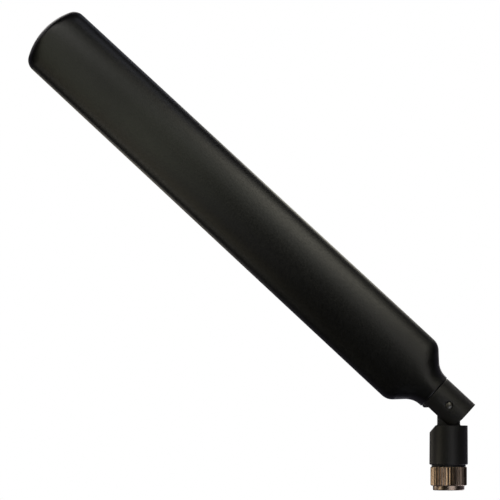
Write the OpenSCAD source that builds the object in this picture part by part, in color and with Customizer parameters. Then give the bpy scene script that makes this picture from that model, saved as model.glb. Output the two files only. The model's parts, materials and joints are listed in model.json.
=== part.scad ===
// Hinged omnidirectional antenna with a flat paddle radome on an SMA plug.
// Millimetres. The origin is the centre of the plug's reference plane, where the mating jack
// seats, and +Z runs up the plug's axis into the antenna. The hinge tilts the paddle to -X.

/* [Pose] */
// Tilt of the paddle from upright, as stored
tilt = 47.15; // [10:0.05:90]

/* [Coupling nut] */
// Diameter over the knurl
nut_d = 9.36; // [9.2:0.02:9.6]
// Number of knurl teeth
knurl_count = 36; // [24:1:48]
// Height of the knurled band
knurl_h = 4.9; // [4.7:0.05:4.92]
// Diameter of the smooth lip at the mouth
lip_d = 8.1; // [7.8:0.05:8.5]

/* [Swivel base] */
// Diameter of the barrel at its foot
base_d = 9.88; // [9.6:0.02:10.2]
// Height of the barrel from foot to shoulder
base_h = 10.04; // [9.9:0.02:10.4]
// Width of the tongue, across the hinge
tongue_w = 5.8; // [5:0.1:6]
// Thickness of the tongue, along the hinge pin
tongue_t = 5.2; // [4.8:0.1:5.4]

/* [Hinge knuckle] */
// Diameter of the knuckle
knuckle_d = 9.5; // [9.3:0.05:9.8]
// Distance from the hinge pin to the knuckle's free end
ear_end = 4.9; // [4.8:0.05:5.12]
// Distance from the hinge pin to the radome's neck
seam_u = 5.03; // [4.9:0.01:5.2]
// Diameter of the hinge pin's shank
pin_d = 1.6; // [1.2:0.1:2]

/* [Radome] */
// Distance from the hinge pin to the tip
tip_u = 141.6; // [138:0.1:170]
// Diameter of the neck
neck_d = 9.8; // [9.6:0.05:10]
// Width of the blade at the shoulder
shoulder_w = 19.58; // [19:0.02:24]
// Width of the blade at the tip
tip_w = 19.06; // [18.6:0.02:19.2]
// Thickness of the blade at the shoulder
shoulder_t = 8.9; // [8.6:0.1:9.6]
// Thickness of the blade at the tip
tip_t = 8.4; // [8.2:0.1:8.6]
// Wall of the two shells
wall = 1.4; // [1.2:0.05:1.5]

/* [Antenna board] */
// Width of the printed board
board_w = 12.6; // [12:0.1:13]
// Distance from the hinge pin to the feed point
feed_u = 60; // [50:1:64]

/* [Hidden] */
$fn = 64;
slack = 0.005; // half gap of parts fixed to each other
lap = 1; // cutting tools reach this far past what they cut

// nut
mouth_z = -3;
lip_h = 1.2;
knurl_z = mouth_z + lip_h;
knurl_depth = 0.23;
thread_pitch = 0.7056; // 1/4-36 UNS
thread_minor_r = 2.85;
thread_major_r = 3.2;
thread_land = 0.18;
thread_flank = (thread_major_r - thread_minor_r) * tan(30);
thread_first_z = -2.5;
thread_turns = 6;
nut_mouth_r = 3.25;
nut_collar_z = 2.66;
nut_collar_r = 2.85;

// plug body
outer_contact_r = 2.295;
outer_contact_h = 1.95;
insulator_r = 2.05;
insulator_h = 4.5;
body_r = 2.8;
body_top_z = 3.14;
nut_ring_z = 2.2;
nut_ring_groove_r = 2.47;
nut_ring_r = 3.1;
ring_t = 0.36;
ring_groove_t = 0.4;
ring_gap = 0.8;
tail_r = 2.5;
tail_top_z = 7.4;
swivel_ring_z = 6.1;
swivel_ring_t = 0.5;
swivel_groove_t = 0.58;
swivel_ring_groove_r = 2.1;
swivel_ring_r = 3;
stem_r = 0.62;
stem_top_z = 9.6;
contact_tip_z = -2;
contact_tip_r = 0.2;
contact_pin_r = 0.46;
contact_taper = 0.35;
contact_body_r = 0.635;
contact_top_z = 4.4;
cup_z = 3.2;
washer_z = 3.16;
washer_t = 0.34;
washer_r = 4.4;
ferrule_z = 7.5;
ferrule_top_z = 10.2;
ferrule_r = 1.15;

// coaxial cable, 1.37 mm
jacket_r = 0.685;
braid_t = 0.12;
braid_r = 0.56;
core_r = 0.43;
wire_r = 0.15;
core_hole_r = 0.45;
core_start_z = insulator_h + 0.05;

// swivel base
base_z = 3.56;
shoulder_z = base_z + base_h;
base_r = base_d / 2;
base_draft = 0.06;
base_top_r = base_r - base_draft;
base_edge = 0.3;
run_gap = 0.05; // running gap of the bore on the tail
base_bore_r = tail_r + run_gap;
base_bore_top_z = 10.5;
base_cable_r = 1;
base_cut_x = -3.3;
base_cut_depth = 1.85;
base_groove_r = 3.15;
base_groove_h = 0.72;
base_groove_z = swivel_ring_z - 0.07;
tongue_fillet = 0.4;
tongue_split_t = 1.9;
tongue_split_h = 0.8; // solid height under the split
tongue_split_z = shoulder_z + tongue_split_h;

// hinge
pin_rise = 5.2; // height of the pin over the shoulder
pivot_z = shoulder_z + pin_rise;
pin_gap = 0.03; // running gap of the tongue on the pin
ear_gap = 0.07; // gap on each side of the tongue
knuckle_r = knuckle_d / 2;
slot_t = tongue_t + 2 * ear_gap;
stop_gap = 0.1; // gap between the tongue's edge and the slot's closed side
slot_wall_x = tongue_w / 2 + stop_gap;
slot_end_u = 3.45;
slot_flare_x = -3.93;
slot_flare = 0.91;
wall_relief = 0.6;
knuckle_edge = 0.2;
pin_r = pin_d / 2;
pin_inner_y = 1;
recess_r = 1.15;
recess_y = 4.15;
pin_head_r = 0.92;
pin_head_y = 4.3;
pin_dome_h = 0.26;
spigot_gap = 0.06;
spigot_r = neck_d / 2 - wall - spigot_gap;
spigot_end_u = 9.5;
knuckle_cable_r = 0.85;
bend_reach = 3.6;
bend_r = bend_reach / tan(tilt / 2);

// radome outline
neck_r = neck_d / 2;
shoulder_hw = shoulder_w / 2;
tip_hw = tip_w / 2;
neck_end_u = 5.5;
neck_bend_r = 5.4;
shoulder_r = 4;
shoulder_angle = 45;
shoulder_rise = shoulder_hw - neck_r - (neck_bend_r + shoulder_r) * (1 - cos(shoulder_angle));
shoulder_run = shoulder_rise / tan(shoulder_angle);
blade_u = neck_end_u + (neck_bend_r + shoulder_r) * sin(shoulder_angle) + shoulder_run;
tip_r = 17;
tip_corner_r = 3.3;
tip_centre_u = tip_u - tip_r;
corner_reach = tip_r - tip_corner_r;
corner_w = tip_hw - tip_corner_r;
corner_angle = asin(corner_w / corner_reach);
corner_u = tip_centre_u + corner_reach * cos(corner_angle);
tip_roll = 1.2; // length over which the thickness rounds off to the tip
roll_u = tip_u - tip_roll;
flatten_end_u = 18; // the round neck has become the flat blade here
blade_power = 2.15; // superellipse power of the blade's section
ring_steps = 20;
arc_steps = 5;
blade_steps = 6;

// board and what is on it
board_t = 0.8;
board_y = 0.73;
board_start_u = 16;
board_end_u = tip_u - 8;
board_corner = 2;
copper_t = 0.035;
copper_y = board_y - copper_t;
strip_w = 1.2;
meander_rows = 11;
pad_w = 3.6;
chip_l = 1.6;
chip_w = 0.8;
foam_w = 8;
foam_l = 34;
foam_u = feed_u + 18;
foam_front_y = -2.4;
foam_back_y = 2.4;
braid_l = 2.5;
core_l = 1.3;
wire_l = 1.4;
pad_u = feed_u + 1; // the feed pad starts here
pad_h = 2.2;
chip_overlap = 0.3; // each end of a chip covers this much copper
arm_gap_u = pad_u + pad_h + chip_l - 2 * chip_overlap;

// ---- shared shapes ----

// places paddle parts: their +Z runs up the paddle from the hinge pin, their +X is the side
// that it tilts away from
module in_paddle() {
    translate([0, 0, pivot_z])
        rotate([0, -tilt, 0])
            children();
}

// a rod along Z from z0 to z1
module rod(r, z0, z1) {
    translate([0, 0, z0])
        cylinder(r = r, h = z1 - z0);
}

// a tube along Z from z0 to z1
module tube(r_out, r_in, z0, z1) {
    difference() {
        rod(r_out, z0, z1);
        rod(r_in, z0 - lap, z1 + lap);
    }
}

// a C-shaped spring ring lying in XY
module split_ring(r_out, r_in, z0, t) {
    difference() {
        tube(r_out, r_in, z0, z0 + t);
        translate([0, -ring_gap / 2, z0 - lap])
            cube([r_out + lap, ring_gap, t + 2 * lap]);
    }
}

// a flat pattern in X and Z, made into a layer from y0 towards +Y
module layer(y0, t) {
    translate([0, y0 + t, 0])
        rotate([90, 0, 0])
            linear_extrude(t)
                children();
}

// ---- plug, fixed to whatever the antenna is screwed on ----

// turned brass body: outer contact, ring lands, tail and crimp stem in one
module connector_body() {
    color("silver")
        rotate_extrude()
            polygon([
                [insulator_r, 0],
                [outer_contact_r, 0],
                [outer_contact_r, outer_contact_h],
                [body_r, outer_contact_h],
                [body_r, nut_ring_z],
                [nut_ring_groove_r, nut_ring_z],
                [nut_ring_groove_r, nut_ring_z + ring_groove_t],
                [body_r, nut_ring_z + ring_groove_t],
                [body_r, body_top_z],
                [tail_r, body_top_z],
                [tail_r, swivel_ring_z],
                [swivel_ring_groove_r, swivel_ring_z],
                [swivel_ring_groove_r, swivel_ring_z + swivel_groove_t],
                [tail_r, swivel_ring_z + swivel_groove_t],
                [tail_r, tail_top_z],
                [stem_r, tail_top_z],
                [stem_r, stem_top_z],
                [core_hole_r, stem_top_z],
                [core_hole_r, insulator_h + 2 * slack],
                [insulator_r, insulator_h + 2 * slack]
            ]);
}

// gold plated pin with a solder cup for the cable's wire
module centre_contact() {
    color("gold")
        difference() {
            union() {
                translate([0, 0, contact_tip_z])
                    cylinder(r1 = contact_tip_r, r2 = contact_pin_r, h = contact_taper);
                rod(contact_pin_r, contact_tip_z + contact_taper, 0);
                rod(contact_body_r, 0, contact_top_z);
            }
            rod(wire_r + slack, cup_z, contact_top_z + lap);
        }
}

// white insulator that carries the centre contact
module ptfe_insulator() {
    color("white")
        tube(insulator_r - slack, contact_body_r + slack, 0, insulator_h);
}

// spring ring that holds the nut on the body
module nut_retaining_ring() {
    color("goldenrod")
        split_ring(nut_ring_r, nut_ring_groove_r + slack, nut_ring_z + 2 * slack, ring_t);
}

// spring ring that holds the swivel base on the tail
module swivel_retaining_ring() {
    color("goldenrod")
        split_ring(swivel_ring_r, swivel_ring_groove_r + slack, swivel_ring_z + 2 * slack, swivel_ring_t);
}

// nylon washer between the nut and the swivel base
module thrust_washer() {
    color("dimgray")
        tube(washer_r, tail_r + slack, washer_z, washer_z + washer_t);
}

// brass sleeve crimped over the cable's braid on the stem
module crimp_ferrule() {
    color("goldenrod")
        tube(ferrule_r, stem_r + braid_t + 2 * slack, ferrule_z, ferrule_top_z);
}

// jacketed cable, from the ferrule up to the hinge
module coax_lower() {
    color("black")
        rod(jacket_r, stem_top_z + slack, pivot_z - bend_reach);
}

// braid flared over the crimp stem
module coax_braid_lower() {
    color("lightgray")
        tube(stem_r + braid_t, stem_r + slack, ferrule_z, stem_top_z);
}

// cable's dielectric, stripped for the stem
module coax_core_lower() {
    color("ivory")
        rod(core_r, core_start_z, stem_top_z);
}

// cable's wire in the contact's solder cup
module coax_wire_lower() {
    color("orange")
        rod(wire_r, cup_z + slack, core_start_z);
}

// ---- coupling nut ----

// outline of the hollow inside the nut: lead-in, thread rings, relief and rear collar
function nut_hollow() = concat(
    [
        [0, mouth_z - lap],
        [nut_mouth_r, mouth_z - lap],
        [nut_mouth_r, mouth_z]
    ],
    [
        for (i = [0 : thread_turns - 1], k = [-1, 1, 2, 3])
            let (z = thread_first_z + i * thread_pitch, edge = thread_land / 2)
                if (k < 3 || i < thread_turns - 1)
                    k == -1 ? [thread_minor_r, z - edge]
                    : k == 1 ? [thread_minor_r, z + edge]
                    : k == 2 ? [thread_major_r, z + edge + thread_flank]
                    : [thread_major_r, z + thread_pitch - edge - thread_flank]
    ],
    [
        [thread_major_r, nut_collar_z],
        [nut_collar_r, nut_collar_z],
        [nut_collar_r, knurl_z + knurl_h + lap],
        [0, knurl_z + knurl_h + lap]
    ]
);

// straight knurl as a star prism, its ends bevelled
module knurl() {
    nut_r = nut_d / 2;
    bevel = knurl_depth + 0.05;
    intersection() {
        translate([0, 0, knurl_z])
            linear_extrude(knurl_h)
                polygon([
                    for (i = [0 : 2 * knurl_count - 1])
                        let (r = i % 2 == 0 ? nut_r : nut_r - knurl_depth)
                            [r * cos(i * 180 / knurl_count), r * sin(i * 180 / knurl_count)]
                ]);
        rotate_extrude()
            polygon([
                [0, knurl_z],
                [nut_r - bevel, knurl_z],
                [nut_r + slack, knurl_z + bevel],
                [nut_r + slack, knurl_z + knurl_h - bevel],
                [nut_r - bevel, knurl_z + knurl_h],
                [0, knurl_z + knurl_h]
            ]);
    }
}

module coupling_nut() {
    lip_r = lip_d / 2;
    lip_edge = 0.3;
    color("rosybrown")
        difference() {
            union() {
                knurl();
                translate([0, 0, mouth_z])
                    cylinder(r1 = lip_r - lip_edge, r2 = lip_r, h = lip_edge);
                rod(lip_r, mouth_z + lip_edge, knurl_z + lap);
            }
            rotate_extrude()
                polygon(nut_hollow());
        }
}

// ---- swivel base, turns about Z on the tail ----

// side view of the tongue with its round top and root fillets
module tongue_outline() {
    half = tongue_w / 2;
    circle(r = half);
    translate([-half, shoulder_z - pivot_z - lap])
        square([tongue_w, pivot_z - shoulder_z + lap]);
    for (side = [-1, 1])
        difference() {
            translate([side * (half + tongue_fillet / 2), shoulder_z - pivot_z + tongue_fillet / 2 - lap / 4])
                square([tongue_fillet, tongue_fillet + lap / 2], center = true);
            translate([side * (half + tongue_fillet), shoulder_z - pivot_z + tongue_fillet])
                circle(r = tongue_fillet);
        }
}

module swivel_base() {
    color("#202020")
        difference() {
            union() {
                translate([0, 0, base_z])
                    cylinder(r1 = base_r - base_edge, r2 = base_r, h = base_edge);
                translate([0, 0, base_z + base_edge])
                    cylinder(r1 = base_r, r2 = base_top_r, h = base_h - base_edge);
                translate([0, 0, pivot_z])
                    layer(-tongue_t / 2, tongue_t)
                        tongue_outline();
            }
            // the shoulder is cut away on the side that the paddle tilts to
            layer(-base_r - lap, base_d + 2 * lap)
                polygon([
                    [base_cut_x, shoulder_z],
                    [base_cut_x, shoulder_z + lap],
                    [-base_r - lap, shoulder_z + lap],
                    [-base_r - lap, shoulder_z - base_cut_depth * (base_r + lap + base_cut_x) / (base_r + base_cut_x)]
                ]);
            // bore for the tail, with the retaining ring's groove
            rod(base_bore_r, base_z - lap, base_bore_top_z);
            rod(base_groove_r, base_groove_z, base_groove_z + base_groove_h);
            // cable's way up, then the split between the tongue's two cheeks
            rod(base_cable_r, base_bore_top_z - lap, tongue_split_z + lap);
            translate([-tongue_w, -tongue_split_t / 2, tongue_split_z])
                cube([2 * tongue_w, tongue_split_t, pivot_z + tongue_w - tongue_split_z]);
            // hinge pin's running holes
            translate([0, 0, pivot_z])
                rotate([90, 0, 0])
                    rod(pin_r + pin_gap, -tongue_t, tongue_t);
        }
}

// cable's bend across the hinge, as stored
module coax_flex() {
    color("black")
        translate([0, 0, pivot_z - bend_reach])
            translate([-bend_r, 0, 0])
                rotate([90, 0, 0])
                    rotate_extrude(angle = tilt)
                        translate([bend_r, 0])
                            circle(r = jacket_r, $fn = 32);
}

// ---- paddle, tilts on the hinge pin ----

// side view of the ears: square on the stop side, round about the pin on the tilting side
module ear_outline() {
    reach = 2 * knuckle_r;
    circle(r = ear_end);
    translate([0, -ear_end])
        square([reach, ear_end + seam_u]);
    translate([-reach, 0])
        square([reach, seam_u]);
}

// side view of the slot between the ears
module slot_outline() {
    reach = 2 * knuckle_r;
    polygon([
        [-reach, -reach],
        [slot_wall_x + wall_relief, -reach],
        [slot_wall_x + wall_relief, -ear_end],
        [slot_wall_x, wall_relief - ear_end],
        [slot_wall_x, slot_end_u],
        [slot_flare_x, slot_end_u],
        [slot_flare_x - slot_flare, slot_end_u + slot_flare],
        [-reach, slot_end_u + slot_flare]
    ]);
}

module hinge_knuckle() {
    color("#202020")
        in_paddle()
            difference() {
                union() {
                    intersection() {
                        union() {
                            rod(knuckle_r, -ear_end, seam_u - knuckle_edge);
                            translate([0, 0, seam_u - knuckle_edge])
                                cylinder(r1 = knuckle_r, r2 = knuckle_r - knuckle_edge, h = knuckle_edge);
                        }
                        layer(-knuckle_d, 2 * knuckle_d)
                            ear_outline();
                    }
                    rod(spigot_r, seam_u - lap, spigot_end_u);
                }
                layer(-slot_t / 2, slot_t)
                    slot_outline();
                rod(knuckle_cable_r, slot_end_u - lap, spigot_end_u + lap);
                rotate([90, 0, 0]) {
                    rod(pin_r + slack, -knuckle_d, knuckle_d);
                    rod(recess_r, recess_y, knuckle_d);
                    rod(recess_r, -knuckle_d, -recess_y);
                }
            }
}

// stub pin with a low domed head, drawn along +Z from the middle of the hinge
module stub_pin() {
    dome_r = (pow(pin_head_r, 2) + pow(pin_dome_h, 2)) / (2 * pin_dome_h);
    color("lightgray") {
        rod(pin_r, pin_inner_y, recess_y + slack);
        rod(pin_head_r, recess_y + slack, pin_head_y);
        intersection() {
            rod(pin_head_r, pin_head_y, pin_head_y + pin_dome_h);
            translate([0, 0, pin_head_y + pin_dome_h - dome_r])
                sphere(r = dome_r);
        }
    }
}

module hinge_pin_front() {
    in_paddle()
        rotate([90, 0, 0])
            stub_pin();
}

module hinge_pin_back() {
    in_paddle()
        rotate([-90, 0, 0])
            stub_pin();
}

// half width of the radome against distance up the paddle, d inside its outer face
function outline(d) = concat(
    [[seam_u, neck_r - d]],
    [
        for (k = [0 : arc_steps])
            let (t = shoulder_angle * k / arc_steps)
                [neck_end_u + (neck_bend_r + d) * sin(t), neck_r + neck_bend_r - (neck_bend_r + d) * cos(t)]
    ],
    [
        for (k = [arc_steps : -1 : 0])
            let (t = shoulder_angle * k / arc_steps)
                [blade_u - (shoulder_r - d) * sin(t), shoulder_hw - shoulder_r + (shoulder_r - d) * cos(t)]
    ],
    [
        for (k = [1 : blade_steps - 1])
            let (f = k / blade_steps)
                [blade_u + (corner_u - blade_u) * f, shoulder_hw + (tip_hw - shoulder_hw) * f - d]
    ],
    [
        for (k = [0 : arc_steps])
            let (t = (90 - corner_angle) * k / arc_steps)
                [corner_u + (tip_corner_r - d) * sin(t), corner_w + (tip_corner_r - d) * cos(t)]
    ],
    [
        for (k = [1 : arc_steps - 1])
            let (t = corner_angle * (1 - k / arc_steps))
                [tip_centre_u + (tip_r - d) * cos(t), (tip_r - d) * sin(t)]
    ]
);

// 0 at the round neck and 1 on the flat blade, with no kink at either end
function flatness(u) =
    u < neck_end_u ? 0
    : u > flatten_end_u ? 1
    : (1 - cos(180 * (u - neck_end_u) / (flatten_end_u - neck_end_u))) / 2;

// half thickness of the radome, d inside its outer face
function half_thickness(u, d) =
    let (
        f = (u - flatten_end_u) / (tip_u - flatten_end_u),
        blade = (shoulder_t + (tip_t - shoulder_t) * max(0, f)) / 2,
        full = neck_r + (blade - neck_r) * flatness(u) - d,
        roll = max(0, u + d - roll_u) / tip_roll
    )
        full * sqrt(max(0, 1 - roll * roll));

// one ring of points round half the section, from the +X edge to the -X edge
function half_ring(u, half_w, half_t, side) =
    let (n = 2 + (blade_power - 2) * flatness(u))
        [
            for (k = [0 : ring_steps])
                let (t = 180 * k / ring_steps, c = cos(t), s = k == ring_steps ? 0 : sin(t))
                    [
                        half_w * sign(c) * pow(abs(c), 2 / n),
                        side * half_t * pow(s, 2 / n),
                        u
                    ]
        ];

// triangles between one ring and the next
function skin(first, rings, flip) = [
    for (i = [0 : rings - 2], k = [0 : ring_steps - 1], half = [0, 1])
        let (
            a = first + i * (ring_steps + 1) + k,
            b = a + ring_steps + 1,
            tri = half == 0 ? [a, b, a + 1] : [a + 1, b, b + 1]
        )
            flip ? [tri[2], tri[1], tri[0]] : tri
];

// triangles from the last ring to its apex
function cap(ring, apex, flip) = [
    for (k = [0 : ring_steps - 1])
        flip ? [ring + k, ring + k + 1, apex] : [ring + k + 1, ring + k, apex]
];

// one shell of the radome: side is -1 for the front and 1 for the back
module radome_half(side) {
    outer = outline(0);
    inner = outline(wall);
    rings = len(outer);
    per_ring = ring_steps + 1;
    per_skin = rings * per_ring;
    apex_out = 2 * per_skin;
    apex_in = apex_out + 1;
    points = concat(
        [for (p = outer) each half_ring(p[0], p[1], half_thickness(p[0], 0), side)],
        [for (p = inner) each half_ring(p[0], p[1], half_thickness(p[0], wall), side)],
        [[0, 0, tip_u], [0, 0, tip_u - wall]]
    );
    // the flat rims: along both edges, round the apex and across the neck
    rims = concat(
        [
            for (i = [0 : rings - 2], edge = [0, ring_steps])
                let (
                    o = i * per_ring + edge,
                    n = o + per_skin,
                    rim = [o, n, n + per_ring, o + per_ring]
                )
                    edge == 0 ? rim : [rim[3], rim[2], rim[1], rim[0]]
        ],
        [
            let (o = per_skin - per_ring, n = o + per_skin)
                [o, n, apex_in, apex_out],
            let (o = per_skin - 1, n = o + per_skin)
                [apex_out, apex_in, n, o]
        ],
        [
            for (k = [0 : ring_steps - 1], half = [0, 1])
                let (n = k + per_skin)
                    half == 0 ? [k, k + 1, n] : [k + 1, n + 1, n]
        ]
    );
    faces = concat(
        skin(0, rings, false),
        cap(per_skin - per_ring, apex_out, false),
        skin(per_skin, rings, true),
        cap(2 * per_skin - per_ring, apex_in, true),
        rims
    );
    color("#202020")
        in_paddle()
            polyhedron(
                points = points,
                faces = side < 0 ? faces : [for (f = faces) [for (k = [len(f) - 1 : -1 : 0]) f[k]]]
            );
}

module radome_front() {
    radome_half(-1);
}

module radome_back() {
    radome_half(1);
}

// ---- board inside the radome ----

// glass-epoxy board with cut corners
module antenna_board() {
    half = board_w / 2;
    color("darkgreen")
        in_paddle()
            layer(board_y, board_t)
                polygon([
                    [-half, board_start_u + board_corner],
                    [board_corner - half, board_start_u],
                    [half - board_corner, board_start_u],
                    [half, board_start_u + board_corner],
                    [half, board_end_u - board_corner],
                    [half - board_corner, board_end_u],
                    [board_corner - half, board_end_u],
                    [-half, board_end_u - board_corner]
                ]);
}

// copper shapes lie on the board's front face
module copper() {
    color("orange")
        in_paddle()
            layer(copper_y, copper_t)
                children();
}

// lower half of the dipole, with a slot up each side of the cable
module ground_arm() {
    arm_w = board_w - 2 * board_corner;
    rail_w = 3;
    bridge_h = 4;
    copper() {
        for (side = [-1, 1])
            translate([side * (arm_w - rail_w) / 2 - rail_w / 2, board_start_u + board_corner])
                square([rail_w, feed_u - board_start_u - board_corner]);
        translate([-arm_w / 2, feed_u - bridge_h])
            square([arm_w, bridge_h]);
    }
}

// pad that the cable's wire is soldered to
module feed_pad() {
    copper()
        translate([-pad_w / 4, pad_u])
            square([pad_w, pad_h]);
}

// meandered upper half of the dipole
module low_band_arm() {
    row_pitch = (board_end_u - board_corner - strip_w - arm_gap_u) / meander_rows;
    row_w = 5.6;
    copper() {
        for (k = [0 : meander_rows]) {
            translate([-row_w / 2, arm_gap_u + k * row_pitch])
                square([row_w, strip_w]);
            if (k < meander_rows)
                translate([k % 2 == 0 ? row_w / 2 - strip_w : -row_w / 2, arm_gap_u + k * row_pitch])
                    square([strip_w, row_pitch + strip_w]);
        }
    }
}

// two short strips that flank the meander
module high_band_arm() {
    arm_l = 30;
    arm_x = 4.4;
    copper()
        for (side = [-1, 1])
            translate([side * arm_x - strip_w / 2, arm_gap_u])
                square([strip_w, arm_l]);
}

// a surface-mount chip with a metal cap at each end, lying along Z from z0
module chip(x, z0) {
    in_paddle()
        translate([x - chip_w / 2, copper_y - chip_w, z0])
            cube([chip_w, chip_w, chip_l]);
}

module matching_capacitor() {
    color("tan")
        chip(0, pad_u + pad_h - chip_overlap);
}

module matching_inductor() {
    color("slategray")
        chip(pad_w / 2 + chip_overlap, (feed_u + pad_u - chip_l) / 2);
}

// solder over the end of the braid and over the end of the wire
module solder_fillet(r, cut_r, z0, z1) {
    color("gainsboro")
        in_paddle()
            difference() {
                layer(0, copper_y - slack)
                    translate([-r, z0])
                        square([2 * r, z1 - z0]);
                rod(cut_r + slack, z0 - lap, z1 + lap);
            }
}

module shield_solder() {
    solder_l = 1.5;
    solder_u = feed_u - braid_l + 0.6;
    solder_fillet(1.1, braid_r, solder_u, solder_u + solder_l);
}

module feed_solder() {
    solder_l = 1;
    solder_u = feed_u + core_l + 0.2;
    solder_fillet(0.55, wire_r, solder_u, solder_u + solder_l);
}

module foam_pad_front() {
    color("gray")
        in_paddle()
            translate([-foam_w / 2, foam_front_y, foam_u])
                cube([foam_w, copper_y - slack - foam_front_y, foam_l]);
}

module foam_pad_back() {
    color("gray")
        in_paddle()
            translate([-foam_w / 2, board_y + board_t, foam_u])
                cube([foam_w, foam_back_y - board_y - board_t, foam_l]);
}

// ---- cable in the paddle ----

module coax_upper() {
    color("black")
        in_paddle()
            rod(jacket_r, bend_reach, feed_u - braid_l);
}

module coax_braid_upper() {
    color("lightgray")
        in_paddle()
            rod(braid_r, feed_u - braid_l, feed_u);
}

module coax_core_upper() {
    color("ivory")
        in_paddle()
            rod(core_r, feed_u, feed_u + core_l);
}

module coax_wire_upper() {
    color("orange")
        in_paddle()
            rod(wire_r, feed_u + core_l, feed_u + core_l + wire_l);
}

connector_body();
centre_contact();
ptfe_insulator();
nut_retaining_ring();
swivel_retaining_ring();
thrust_washer();
crimp_ferrule();
coax_lower();
coax_braid_lower();
coax_core_lower();
coax_wire_lower();
coupling_nut();
swivel_base();
coax_flex();
hinge_knuckle();
hinge_pin_front();
hinge_pin_back();
radome_front();
radome_back();
antenna_board();
ground_arm();
feed_pad();
low_band_arm();
high_band_arm();
matching_capacitor();
matching_inductor();
shield_solder();
feed_solder();
foam_pad_front();
foam_pad_back();
coax_upper();
coax_braid_upper();
coax_core_upper();
coax_wire_upper();
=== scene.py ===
"""Looks of a hinged paddle antenna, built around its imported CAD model.

Everything is in metres in the CAD model's own frame. Paddle pieces are drawn upright, with the
hinge pin at their origin, and are then turned to the paddle's stored tilt.
"""

import json
import math

import bmesh
import bpy
from bpy.props import FloatProperty, FloatVectorProperty, IntProperty, PointerProperty
from mathutils import Matrix, Vector


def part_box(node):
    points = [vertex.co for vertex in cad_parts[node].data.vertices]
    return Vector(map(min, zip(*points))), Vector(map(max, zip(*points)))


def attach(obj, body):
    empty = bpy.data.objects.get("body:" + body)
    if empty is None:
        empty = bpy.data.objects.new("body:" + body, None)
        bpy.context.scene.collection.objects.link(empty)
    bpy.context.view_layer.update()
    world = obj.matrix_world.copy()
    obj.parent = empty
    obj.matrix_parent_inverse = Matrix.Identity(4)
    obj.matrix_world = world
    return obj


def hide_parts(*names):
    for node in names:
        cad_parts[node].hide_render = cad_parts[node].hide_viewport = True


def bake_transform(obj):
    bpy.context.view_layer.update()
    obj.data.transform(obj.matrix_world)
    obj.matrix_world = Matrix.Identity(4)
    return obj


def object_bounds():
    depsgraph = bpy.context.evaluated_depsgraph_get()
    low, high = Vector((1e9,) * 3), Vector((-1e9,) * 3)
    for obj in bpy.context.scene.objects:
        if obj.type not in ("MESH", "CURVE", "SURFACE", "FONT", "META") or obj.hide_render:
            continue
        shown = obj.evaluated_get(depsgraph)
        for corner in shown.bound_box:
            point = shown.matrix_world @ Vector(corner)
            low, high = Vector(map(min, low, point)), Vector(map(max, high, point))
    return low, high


bl_info = {
    "name": "Hinged paddle antenna",
    "version": (1, 0, 0),
    "blender": (4, 5, 0),
    "location": "3D View > Sidebar > Antenna",
    "description": "Builds the visible pieces of a hinged paddle antenna on its CAD frame",
    "category": "Add Mesh",
}

MM = 0.001
TINY = 1e-7  # metres: points closer than this are the same point
TURN = 2 * math.pi
WAVE = TURN / 20  # the wave texture's spacing at a scale of 1
WHITE = (1, 1, 1, 1)

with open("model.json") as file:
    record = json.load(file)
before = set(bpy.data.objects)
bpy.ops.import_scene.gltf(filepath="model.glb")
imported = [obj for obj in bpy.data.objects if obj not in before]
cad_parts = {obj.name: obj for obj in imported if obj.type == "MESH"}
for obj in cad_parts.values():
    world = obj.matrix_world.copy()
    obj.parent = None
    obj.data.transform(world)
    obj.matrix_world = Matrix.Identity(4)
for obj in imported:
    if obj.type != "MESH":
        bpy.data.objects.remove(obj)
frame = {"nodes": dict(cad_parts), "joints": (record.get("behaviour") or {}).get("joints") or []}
cad_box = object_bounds()


# ---- places, from the frame ----


def joint(name):
    """The record's row for a joint."""
    return next(j for j in frame["joints"] if j["name"] == name)


def box_in(node, matrix):
    """Lowest and highest corner of a CAD node, in the frame that the matrix places."""
    inverse = matrix.inverted()
    points = [inverse @ v.co for v in frame["nodes"][node].data.vertices]
    return (
        Vector([min(p[i] for p in points) for i in range(3)]),
        Vector([max(p[i] for p in points) for i in range(3)]),
    )


PIVOT = Vector(joint("paddle_tilt")["pos_m"])
TILT = -math.radians(joint("paddle_tilt")["range_deg"][0])
UPRIGHT = Matrix.Identity(4)
PADDLE = Matrix.Translation(PIVOT) @ Matrix.Rotation(-TILT, 4, "Y")
FRONT_PIN = PADDLE @ Matrix.Rotation(math.radians(90), 4, "X")
BACK_PIN = PADDLE @ Matrix.Rotation(math.radians(-90), 4, "X")


# ---- settings ----


def linear(hex_colour):
    """Linear RGB of an sRGB hex colour such as #1b1b1a."""
    shares = [int(hex_colour[i : i + 2], 16) / 255 for i in (1, 3, 5)]
    return tuple(c / 12.92 if c <= 0.04045 else ((c + 0.055) / 1.055) ** 2.4 for c in shares)


def length(name, description, millimetres):
    """A length that a user may change."""
    return FloatProperty(
        name=name,
        description=description,
        default=millimetres * MM,
        min=0,
        precision=5,
        unit="LENGTH",
    )


def colour(name, description, hex_colour):
    """A colour that a user may change."""
    return FloatVectorProperty(
        name=name,
        description=description,
        default=linear(hex_colour),
        size=3,
        min=0,
        max=1,
        subtype="COLOR",
    )


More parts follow.
